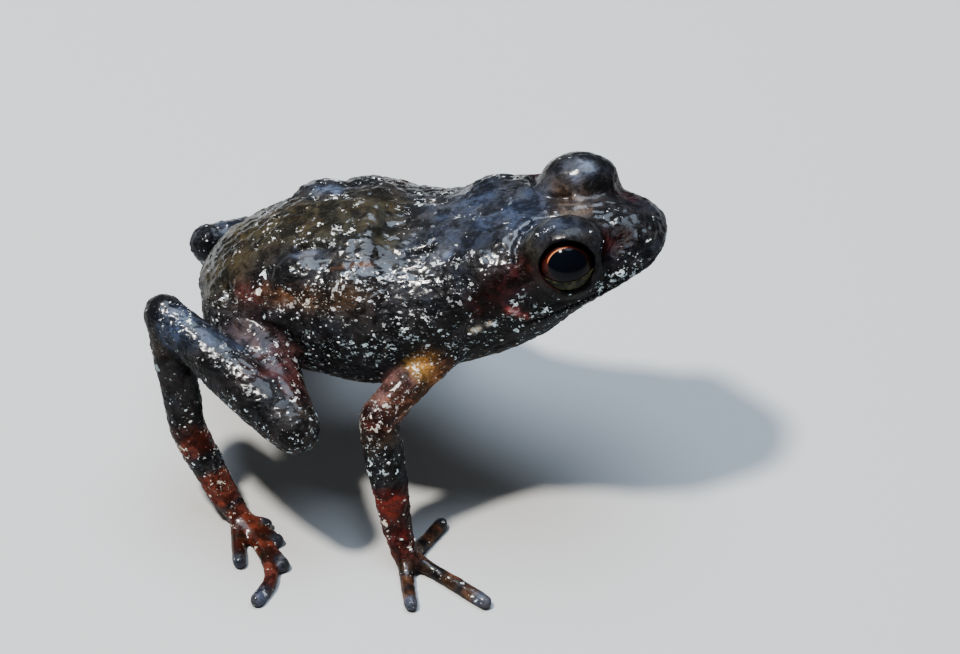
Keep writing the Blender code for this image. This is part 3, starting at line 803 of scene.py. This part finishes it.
def painted(body):
    """Gives each vertex its tone, with painted sheen and shade in places, and how flecked,
    granular, lumpy and wet the skin is there.
    """
    mesh = body.data
    places, upward = places_of(mesh), places_of(mesh, "normal")[:, 2]
    x, y, z = places.T
    tone = np.tile(CHARCOAL, (len(places), 1))
    belly = step(0.45, 0.9, -upward) * step(3.0, 5.0, z) * step(-6.5, -4.5, x)
    lay(tone, BELLY, belly)
    for side, sign in SIDES.items():
        mark(tone, places, sign, MARKS | OWN_MARKS[side])
    on_limb, limb_tone, limb_fleck, digit = limb_of(places)
    lay(tone, limb_tone, on_limb)
    for sign in SIDES.values():
        mark(tone, places, sign, LIMB_MARKS)

    # The flank is speckled from below its widest line up to an edge that falls towards the snout
    rows = np.array(list(TRUNK.values()))
    line, rise = [np.interp(x, rows[:, 0], rows[:, k]) for k in (1, 3)]
    above = (z - line) / rise
    edge = np.interp(x, (3.0, 5.5, 7.5), (0.98, 0.7, 0.4)) - 0.5 * step(0.2, 1.2, y)
    flank = (1 - step(-0.35, 0.0, above - edge)) * step(-1.25, -0.8, above) * step(-7.0, -5.0, x)
    flank *= 1 - 0.55 * step(3.0, 5.0, x)
    far_side = step(0.0, 0.8, y)
    fleck = 0.11 - 0.1 * far_side + 0.9 * flank * (1 - belly)
    fleck = (fleck + (limb_fleck - fleck) * on_limb) * (1 - 0.85 * belly)
    wart = 0.04 - 0.04 * far_side + 0.96 * flank
    wart += (0.6 - wart) * on_limb
    wet = (0.02 + 0.7 * step(0.15, 0.75, upward)) * (1 - 0.6 * step(7.3, 8.8, x))
    paint = {"fleck": fleck, "wart": wart, "lively": np.ones(len(places)), "wet": wet}
    for sign in SIDES.values():
        on_lid = 1 - step(1.3, 1.9, from_point(places, LID_DOME, sign))
        on_lid *= step(0.2, 0.6, upward)
        lessen(paint, on_lid, fleck=0.9, wart=1, lively=0.5, wet=0.45)
        away = from_point(places, EYE, sign)
        clear = step(EYE_RADIUS + 0.12, EYE_RADIUS + 0.5, away)
        paint["lively"] *= clear
        paint["wart"] *= clear
        paint["fleck"] *= 0.3 + 0.7 * clear
        # the skin round the eye's opening is darkened: partly the lids' dark margin, partly painted
        # shade of their inner walls
        lay(tone, np.array(MAROON) / 2, 1 - step(EYE_RADIUS + 0.03, EYE_RADIUS + 0.2, away))
        for name in MATT:
            path, reach, *_ = MARKS[name]
            bare = 0.1 + 0.9 * step(0.7, 1.4, from_path(places, path, sign) / reach)
            paint["fleck"] *= bare
            paint["wet"] *= bare
        # where sheen is painted, the skin also loses flecks and relief and gets wetter
        for name in SMOOTH:
            path, reach, *_ = MARKS[name]
            shine = bell(from_path(places, path, sign) / reach)
            lessen(paint, shine, fleck=0.9, wart=1, lively=0.8)
            paint["wet"] += 0.4 * shine
        for path, reach, more in CROWDS.values():
            paint["fleck"] += more * bell(from_path(places, path, sign) / reach)
    mouth, _ = to_path(places, round_the_snout(MOUTH_TURN))
    # painted shade: the tone darkens in the groove of the mouth's line
    tone *= (0.3 + 0.7 * step(0.04, 0.14, mouth))[:, None]
    paint["lively"] *= 0.25 + 0.75 * step(0.1, 0.4, mouth)
    lessen(paint, digit * on_limb, lively=0.6)
    lessen(paint, on_limb, lively=0.2, wet=0.45)
    lessen(paint, digit, fleck=0.5)
    paint["wart"] *= step(0.5, 1.2, z) * (1 - 0.9 * belly)
    paint["blotch"] = bell((x + 4.8) / 1.2) * on_limb * step(4.5, 5.5, z)
    paint["tone"] = np.column_stack([tone, np.ones(len(tone))])
    for name, values in paint.items():
        save(mesh, name, values)


def fill(node, inputs):
    """Sets a node's inputs: links another node's output, and gives a colour its alpha."""
    for key, value in inputs.items():
        socket = node.inputs[key]
        if isinstance(value, Output):
            value.tree.links.new(value.socket, socket)
        else:
            socket.default_value = (*value, 1) if socket.type == "RGBA" else value


def add(tree, kind, inputs=None, **settings):
    """The outputs of a new node in a tree, by name or number."""
    node = tree.nodes.new(kind)
    for name, value in settings.items():
        setattr(node, name, value)
    fill(node, inputs or {})
    return {key: Output(each) for k, each in enumerate(node.outputs) for key in (k, each.name)}


def maths(operation, *values):
    tree = next(value.tree for value in values if isinstance(value, Output))
    return add(tree, "ShaderNodeMath", dict(enumerate(values)), operation=operation)[0]


class Output:
    """A node's output. Arithmetic with it, and its other methods, add nodes to its tree."""

    def __init__(self, socket):
        self.socket, self.tree = socket, socket.id_data

    __add__ = lambda a, b: maths("ADD", a, b)
    __sub__ = lambda a, b: maths("SUBTRACT", a, b)
    __rsub__ = lambda a, b: maths("SUBTRACT", b, a)
    __mul__ = lambda a, b: maths("MULTIPLY", a, b)
    __truediv__ = lambda a, b: maths("DIVIDE", a, b)
    __rtruediv__ = lambda a, b: maths("DIVIDE", b, a)
    __abs__ = lambda a: maths("ABSOLUTE", a)

    def vector(self, operation, by, key=1):
        return add(self.tree, "ShaderNodeVectorMath", {0: self, key: by}, operation=operation)[0]

    def stretched(self, by):
        return self.vector("MULTIPLY", by)

    def scaled(self, by):
        return self.vector("SCALE", by, "Scale")

    def spread(self, low, high, to_low=0.0, to_high=1.0):
        """Takes it from one range to another, smoothly and without leaving it."""
        inputs = {
            "Value": self, "From Min": low, "From Max": high, "To Min": to_low, "To Max": to_high}
        return add(self.tree, "ShaderNodeMapRange", inputs, interpolation_type="SMOOTHSTEP")[0]

    def mix(self, inputs, blend):
        return add(self.tree, "ShaderNodeMix", inputs, data_type="RGBA", blend_type=blend)[2]

    def between(self, a, b):
        """Two colours mixed: the first where it is 0, the second where it is 1."""
        return self.mix({0: self, 6: a, 7: b}, "MIX")

    def times(self, colour):
        return self.mix({0: 1.0, 6: self, 7: colour}, "MULTIPLY")

    def noise(self, scale, detail=2.0, rough=0.5, bent=0.0):
        return add(self.tree, "ShaderNodeTexNoise", {
            "Vector": self, "Scale": scale, "Detail": detail, "Roughness": rough,
            "Distortion": bent})

    def cloud(self, *inputs, **more):
        return self.noise(*inputs, **more)[0]

    def ridge(self, *inputs, **more):
        """How far a noise is from its middle, which makes thin winding lines at 0."""
        return abs(self.cloud(*inputs, **more) - 0.5)

    def cells(self, scale, feature):
        return add(self.tree, "ShaderNodeTexVoronoi", {"Vector": self, "Scale": scale},
                   feature=feature)

    def bump(self, strength, distance):
        return add(self.tree, "ShaderNodeBump", {
            "Strength": strength, "Distance": distance, "Height": self})[0]


def new_tree(name, kind, inputs, outputs):
    """A node group with its sockets made, and what it is given, by name."""
    tree = bpy.data.node_groups.new(name, kind)
    for direction, rows in (("INPUT", inputs), ("OUTPUT", outputs)):
        for label, what, *default in rows:
            made = tree.interface.new_socket(
                label, in_out=direction, socket_type="NodeSocket" + what)
            if default:
                made.default_value = default[0]
    return tree, add(tree, "NodeGroupInput")


def finished(tree, given, shape):
    """Ends a geometry tree."""
    whole = add(tree, "GeometryNodeRealizeInstances", {"Geometry": shape})[0]
    done = add(tree, "GeometryNodeSetMaterial", {"Geometry": whole, "Material": given["Finish"]})
    add(tree, "NodeGroupOutput", {0: done[0]})
    return tree


def relief_tree():
    """Geometry nodes that raise lumps, folds along the body and pebbles on the skin."""
    rows = [(f"{form} {size}", "Float") for form in ("Lump", "Fold", "Pebble")
            for size in ("Height", "Size")]
    tree, given = new_tree(
        "skin relief", "GeometryNodeTree",
        [("Skin", "Geometry"), *rows, ("Finish", "Material")], [("Skin", "Geometry")])
    place = add(tree, "GeometryNodeInputPosition")[0]
    normal = add(tree, "GeometryNodeInputNormal")[0]
    lively = add(
        tree, "GeometryNodeInputNamedAttribute", {"Name": "lively"}, data_type="FLOAT")[0]
    lump = place.stretched((0.7, 1, 1)).cloud(1.0 / given["Lump Size"], 1.5) - 0.5
    ridge = place.stretched((0.85, 1.1, 1.1)).ridge(1.0 / given["Fold Size"], 3.0, 0.6)
    fold = ridge.spread(0.0, 0.16) - 0.5
    drawn = place.stretched((0.75, 1, 1))
    pebble = 0.45 - drawn.cells(1.0 / given["Pebble Size"], "SMOOTH_F1")["Distance"]
    height = lump * (given["Lump Height"] * 2.0)
    height = maths("MULTIPLY_ADD", fold, given["Fold Height"], height)
    height = maths("MULTIPLY_ADD", pebble, given["Pebble Height"], height)
    moved = add(tree, "GeometryNodeSetPosition", {
        "Geometry": given["Skin"], "Offset": normal.scaled(height * lively)})[0]
    return finished(tree, given, moved)


def chance(tree, low, high, seed):
    """A random number, or three where the ends of the range have three, from its own seed."""
    first, kind, out = (0, "FLOAT_VECTOR", 0) if isinstance(low, tuple) else (2, "FLOAT", 1)
    inputs = {first: low, first + 1: high, "Seed": seed}
    return add(tree, "FunctionNodeRandomValue", inputs, data_type=kind)[out]


def granule_tree():
    """Geometry nodes that strew raised granules over the skin and keep only them."""
    tree, given = new_tree(
        "granules", "GeometryNodeTree",
        [("Skin", "Geometry"), ("Density", "Float"), ("Smallest", "Float"), ("Largest", "Float"),
         ("Seed", "Int"), ("Finish", "Material")], [("Granules", "Geometry")])
    wart = add(tree, "GeometryNodeInputNamedAttribute", {"Name": "wart"}, data_type="FLOAT")[0]
    cloud = add(tree, "GeometryNodeInputPosition")[0].cloud(0.9)
    strewn = add(tree, "GeometryNodeDistributePointsOnFaces", {
        "Mesh": given["Skin"], "Seed": given["Seed"],
        "Density": wart * given["Density"] * cloud.spread(0.38, 0.62)})
    size = chance(tree, given["Smallest"], given["Largest"], given["Seed"])
    shape = chance(tree, (1.0, 0.7, 0.45), (1.7, 1.0, 0.6), 3)
    stone = add(tree, "GeometryNodeMeshIcoSphere", {"Radius": 1.0, "Subdivisions": 1})[0]
    set_on = add(tree, "GeometryNodeInstanceOnPoints", {
        "Points": strewn["Points"], "Instance": stone, "Rotation": strewn["Rotation"],
        "Scale": shape.scaled(size)})[0]
    kept = add(tree, "GeometryNodeStoreNamedAttribute", {
        "Geometry": set_on, "Name": "pale", "Value": chance(tree, 0.0, 1.0, 5),
    }, data_type="FLOAT", domain="INSTANCE")[0]
    return finished(tree, given, kept)


def wet_grain_group():
    """The fine wrinkled grain of the wet skin: a height, and a mask of its hollows, where shade is
    painted.
    """
    tree, given = new_tree(
        "wet grain", "ShaderNodeTree", [("Place", "Vector"), ("Size", "Float", 0.00012)],
        [("Height", "Float"), ("Hollows", "Float")])
    scale = 1.0 / given["Size"]
    drawn = given["Place"].stretched((0.85, 1.0, 1.0))
    ridge = drawn.ridge(scale * 0.4, 3.0, bent=0.6)
    cells = drawn.cells(scale * 0.9, "SMOOTH_F1")["Distance"]
    height = drawn.cloud(scale, 4.0, 0.6) * 0.5 + ridge * 2.4 - cells * 0.6
    add(tree, "NodeGroupOutput", {"Height": height, "Hollows": ridge.spread(0.0, 0.08, 1.0, 0.0)})
    return tree


def fleck_group():
    """Irregular flecks a little longer than wide, as a mask. Amount is how many cells have one."""
    tree, given = new_tree(
        "flecks", "ShaderNodeTree",
        [("Place", "Vector"), ("Size", "Float", 0.0003), ("Amount", "Float", 0.5)],
        [("Mask", "Float")])
    place, scale = given["Place"], 1.0 / given["Size"]
    warp = place.noise(scale * 1.8, 3.0)[1].vector("SUBTRACT", (0.5, 0.5, 0.5))
    drawn = place.vector("ADD", warp.scaled(given["Size"] * 1.7)).stretched((0.7, 1.2, 1.2))
    cells = drawn.cells(scale, "F1")
    random = add(tree, "ShaderNodeSeparateColor", {0: cells["Color"]})
    edge = random[1] * 0.2 + 0.1 - cells["Distance"]
    mask = edge.spread(-0.01, 0.04) * maths("LESS_THAN", random[0], given["Amount"])
    add(tree, "NodeGroupOutput", {"Mask": mask * random[2].spread(0.0, 0.9, 0.3, 1.0)})
    return tree


def material(name):
    made = bpy.data.materials.new(name)
    made.use_nodes = True
    return made, made.node_tree, made.node_tree.nodes["Principled BSDF"]


def place_in(tree):
    return add(tree, "ShaderNodeTexCoord")["Object"]


def attribute(tree, name, what="Fac"):
    return add(tree, "ShaderNodeAttribute", attribute_name=name)[what]


def skin_material(sizes):
    made, tree, surface = material("skin")
    place = place_in(tree)
    tone = attribute(tree, "tone", "Color")
    amount, blotch, wet, lively = [
        attribute(tree, name) for name in ("fleck", "blotch", "wet", "lively")]
    parts = add(tree, "ShaderNodeSeparateColor", {0: tone})
    mottle = place.cloud(1400.0, 4.0, 0.62, 0.4)
    deep = mottle.spread(0.42, 0.62).between((0.35, 0.35, 0.37), (1.65, 1.65, 1.65))
    deep = parts[1].spread(0.1, 0.3).between(deep, (1, 1, 1))
    hue = place.cloud(620.0, 3.0, 0.7).spread(0.38, 0.62)
    base = tone.times(deep).times(hue.between((1.16, 1.0, 0.84), (0.9, 0.98, 1.14)))
    cloud = place.stretched((0.6, 1.0, 1.2)).cloud(950.0, 3.0)
    vein = place.ridge(1100.0, bent=0.5)
    gathered = cloud.spread(0.42, 0.6, 0.1, 1.4) * vein.spread(0.015, 0.09, 1.7, 0.25)
    often = amount * (amount.spread(1.0, 1.8) * (1.0 - gathered) + gathered)
    flecks, group = 0.0, fleck_group()
    for size, share, strength in (  # share is how many of the cells have a fleck
        (0.0007, blotch * 0.55, 0.25),
        (0.0006, often * 0.65, 1.0),
        (0.00038, often * 0.95, 1.0),
        (0.00023, often, 0.95),
        (0.00013, often * 0.7, 0.6),
    ):
        mask = add(tree, "ShaderNodeGroup", {"Place": place, "Size": size, "Amount": share},
                   node_tree=group)["Mask"]
        flecks = maths("MAXIMUM", flecks, mask * strength)
    cool = wet.spread(0.05, 0.35).between(sizes.low_fleck, sizes.fleck)
    warm = (parts[0] / (parts[0] + parts[2])).spread(0.6, 0.9)
    base = flecks.between(base, warm.between(cool, sizes.warm_fleck))
    grain = add(tree, "ShaderNodeGroup", {"Place": place, "Size": 0.00013},
                node_tree=wet_grain_group())
    height = grain["Height"] * lively.spread(0.0, 1.0, 0.1, 1.0)
    matt = sizes.roughness
    fill(surface, {
        # painted shade: the base colour darkens in the hollows of the fine grain
        "Base Color": (grain["Hollows"] * 0.35).between(base, (0.003, 0.003, 0.003)),
        "Roughness": mottle.spread(0.35, 0.65, matt - 0.1, matt + 0.1),
        "Normal": height.bump(0.9, 0.00006),
        "Specular IOR Level": 0.07,
        "Coat Weight": wet * cloud.spread(0.35, 0.65, 0.6, 1.4),
        "Coat Roughness": 0.17,
    })
    return made


def granule_material(sizes):
    made, tree, surface = material("granules")
    patch = place_in(tree).cloud(9000.0)
    share = (attribute(tree, "pale") + patch * 0.3).spread(0.9, 1.15)
    fill(surface, {
        "Base Color": share.between(attribute(tree, "tone", "Color"), sizes.fleck),
        "Roughness": 0.35,
        "Specular IOR Level": 0.3,
        "Coat Weight": 0.6,
        "Coat Roughness": 0.08,
    })
    return made


def eye_material(sizes):
    """The eye, from the attribute that says where across it each place is, in radii."""
    made, tree, surface = material("eye")
    across = attribute(tree, "across", "Vector")
    parts = add(tree, "ShaderNodeSeparateXYZ", {0: across})
    x, y = [parts[k] / (size / MM / EYE_RADIUS) for k, size in enumerate(sizes.pupil)]
    far = maths("SQRT", x * x + y * y)
    tilted = parts[1] - parts[0] * 0.55
    streaks = across.cloud(26.0, 5.0, 0.65).spread(0.4, 0.65)
    glow = far.spread(1.05, 1.6, 0.9, 0.3) * tilted.spread(0.1, 0.6)
    arc = far.spread(0.995, 1.015) * far.spread(1.03, 1.08, 1.0, 0.0) * tilted.spread(0.48, 0.68)
    iris = streaks.between((0.004, 0.003, 0.003), sizes.iris)
    iris = arc.between(glow.between(iris, (0.04, 0.006, 0.004)), sizes.copper)
    fill(surface, {
        "Base Color": far.spread(0.96, 1.0).between((0.0015, 0.002, 0.004), iris),
        "Roughness": far.spread(0.9, 1.1, 0.12, 0.35),
        "Specular IOR Level": 0.05,
        "Coat Weight": 0.2,
        "Coat Roughness": 0.03,
        "Coat IOR": 1.35,
    })
    return made


def lid_material():
    made, tree, surface = material("lower lid")
    patch = place_in(tree).cloud(5200.0, 3.0, 0.6)
    olive = patch.spread(0.42, 0.62)
    fill(surface, {
        "Base Color": olive.between((0.003, 0.003, 0.002), (0.034, 0.034, 0.014)),
        "Roughness": 0.5,
        "Normal": patch.bump(0.4, 0.00001),
        "Specular IOR Level": 0.1,
    })
    return made


def placed(thing, shift=Vector()):
    """Takes a finished piece to the frame's place and size, and lets it ride."""
    thing.data.transform(Matrix.Scale(MM, 4) @ Matrix.Translation(shift))
    thing.data.shade_smooth()
    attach(thing, "root")


class FROG_OT_skin(bpy.types.Operator):
    """Makes the one skin of head, trunk and limbs"""

    bl_idname = "frog.skin"
    bl_label = "Skin"

    def execute(self, context):
        sizes = context.scene.frog_skin
        body = flesh(sizes.grain / MM)
        creased(body)
        painted(body)
        grown(body, relief_tree(), {
            "Lump Height": sizes.lump_height, "Lump Size": LUMP_SIZE,
            "Fold Height": sizes.fold_height, "Fold Size": FOLD_SIZE,
            "Pebble Height": sizes.grain_height, "Pebble Size": PEBBLE_SIZE,
            "Finish": skin_material(sizes)})
        thinned(body, sizes.triangles)
        places = places_of(body.data)
        places[:, 2] = np.maximum(places[:, 2], 0)
        move_to(body.data, places)
        if len(places) < 10000:
            raise RuntimeError("the skin came out empty")
        placed(body, frame_shift())
        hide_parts(*FLESH)
        return {"FINISHED"}


class FROG_OT_granules(bpy.types.Operator):
    """Strews raised granules over the skin"""

    bl_idname = "frog.granules"
    bl_label = "Granules"

    def execute(self, context):
        sizes = context.scene.frog_granules
        strewn = linked("granules", bpy.data.objects["skin"].data.copy())
        strewn.data.transform(Matrix.Scale(1 / MM, 4))
        grown(strewn, granule_tree(), {
            "Density": sizes.density, "Smallest": sizes.smallest / MM,
            "Largest": sizes.largest / MM, "Seed": sizes.seed,
            "Finish": granule_material(context.scene.frog_skin)})
        if not strewn.data.vertices:
            raise RuntimeError("no granules were made")
        placed(strewn)
        return {"FINISHED"}


def eyeball(name, sign, around=72, along=48):
    """A ball round the way the eye looks, with the place of each vertex across it."""
    shape = bmesh.new()
    bmesh.ops.create_uvsphere(shape, u_segments=around, v_segments=along, radius=1)
    eye = thing_from(name, shape)
    save(eye.data, "across", places_of(eye.data) * (1, -sign, 0.5))
    turn = eye_turn(sign).to_4x4()
    centre = Matrix.Translation(mirrored(EYE, sign))
    eye.data.transform(centre @ turn @ Matrix.Scale(EYE_RADIUS, 4))
    return eye


def lower_lid(name, sign, around=40, across=8):
    """A thin shell on the lower part of the eyeball, with a curved upper margin."""
    turn = eye_turn(sign)
    shape = bmesh.new()
    sheets = []
    for radius in LOWER_LID_RADII:
        sheet = []
        for k in range(around + 1):
            t = -1 + 2 * k / around
            top = -0.6 + 0.36 * t * t
            row = []
            for j in range(across + 1):
                x, y = 0.93 * t, top + (-0.98 - top) * j / across
                inward = min(1, 0.985 / math.hypot(x, y))
                x, y = x * inward, y * inward
                place = Vector((x, -sign * y, math.sqrt(1 - x**2 - y**2))) * radius
                row.append(shape.verts.new(mirrored(EYE, sign) + turn @ place))
            sheet.append(row)
        sheets.append(sheet)
        for k in range(around):
            for j in range(across):
                shape.faces.new(
                    (sheet[k][j], sheet[k + 1][j], sheet[k + 1][j + 1], sheet[k][j + 1]))
    inner, outer = sheets
    edge = [(k, 0) for k in range(around)] + [(around, j) for j in range(across)]
    edge += [(k, across) for k in range(around, 0, -1)] + [(0, j) for j in range(across, 0, -1)]
    for (a, b), (c, d) in zip(edge, edge[1:] + edge[:1]):
        shape.faces.new((inner[a][b], inner[c][d], outer[c][d], outer[a][b]))
    bmesh.ops.remove_doubles(shape, verts=shape.verts, dist=1e-4)
    bmesh.ops.recalc_face_normals(shape, faces=shape.faces)
    return thing_from(name, shape)


class FROG_OT_eyes(bpy.types.Operator):
    """Makes both eyeballs and the lower lids that lie on them"""

    bl_idname = "frog.eyes"
    bl_label = "Eyes"

    def execute(self, context):
        finish, olive = eye_material(context.scene.frog_eyes), lid_material()
        for side, sign in SIDES.items():
            eye = eyeball(f"{side}_eyeball", sign)
            eye.data.materials.append(finish)
            placed(eye, frame_shift())
            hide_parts(f"{side}_eye")
            lid = lower_lid(f"{side}_lower_lid", sign)
            lid.data.materials.append(olive)
            placed(lid, frame_shift())
        return {"FINISHED"}


def aimed(name, data, place, target):
    """A lamp or camera at a place, turned towards another."""
    thing = linked(name, data)
    thing.location = place * MM
    thing.rotation_euler = (place - target).to_track_quat("Z", "Y").to_euler()
    return thing


class FROG_OT_stage(bpy.types.Operator):
    """Makes the floor, the lamps and the camera"""

    bl_idname = "frog.stage"
    bl_label = "Stage"

    def execute(self, context):
        scene, sizes = context.scene, context.scene.frog_stage
        shape = bmesh.new()
        bmesh.ops.create_grid(shape, x_segments=1, y_segments=1, size=FLOOR * MM)
        floor = thing_from("floor", shape)
        made, _, surface = material("floor")
        fill(surface, {"Base Color": sizes.floor, "Roughness": 0.6})
        floor.data.materials.append(made)
        for name, (place, size, watts, colour) in LAMPS.items():
            lamp = bpy.data.lights.new(name, "AREA")
            lamp.shape = "DISK"
            lamp.size = size * MM
            lamp.energy = watts * sizes.strength
            lamp.color = colour
            aimed(name, lamp, Vector(place), LIT)
        scene.world = bpy.data.worlds.new("studio")
        scene.world.use_nodes = True
        sky = scene.world.node_tree.nodes["Background"]
        fill(sky, {"Color": SKY, "Strength": 0.11})
        lens = bpy.data.cameras.new("camera")
        lens.lens = LENS
        lens.clip_start = MM
        shift = frame_shift()
        scene.camera = aimed("camera", lens, CAMERA + shift, TARGET + shift)
        return {"FINISHED"}


class FROG_PT_panel(bpy.types.Panel):
    """The frog's pieces and their settings"""

    bl_idname = "FROG_PT_panel"
    bl_label = "Moss Frog"
    bl_space_type = "VIEW_3D"
    bl_region_type = "UI"
    bl_category = "Frog"

    def draw(self, context):
        for operator, settings in STEPS:
            box = self.layout.box()
            box.operator(operator.bl_idname)
            values = getattr(context.scene, settings)
            for name in values.bl_rna.properties.keys():
                if name not in ("rna_type", "name"):
                    box.prop(values, name)


SETTINGS = {
    "frog_skin": SkinSizes,
    "frog_granules": GranuleSizes,
    "frog_eyes": EyeSizes,
    "frog_stage": StageSizes,
}
STEPS = tuple(zip((FROG_OT_skin, FROG_OT_granules, FROG_OT_eyes, FROG_OT_stage), SETTINGS))
CLASSES = (*SETTINGS.values(), *(operator for operator, _ in STEPS), FROG_PT_panel)


def register():
    for each in CLASSES:
        bpy.utils.register_class(each)
    for name, kind in SETTINGS.items():
        setattr(bpy.types.Scene, name, PointerProperty(type=kind))


def unregister():
    for name in SETTINGS:
        delattr(bpy.types.Scene, name)
    for each in reversed(CLASSES):
        bpy.utils.unregister_class(each)


def main():
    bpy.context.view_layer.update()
    register()
    for name in ("skin", "granules", "eyes", "stage"):
        getattr(bpy.ops.frog, name)()


if __name__ == "__main__":
    main()
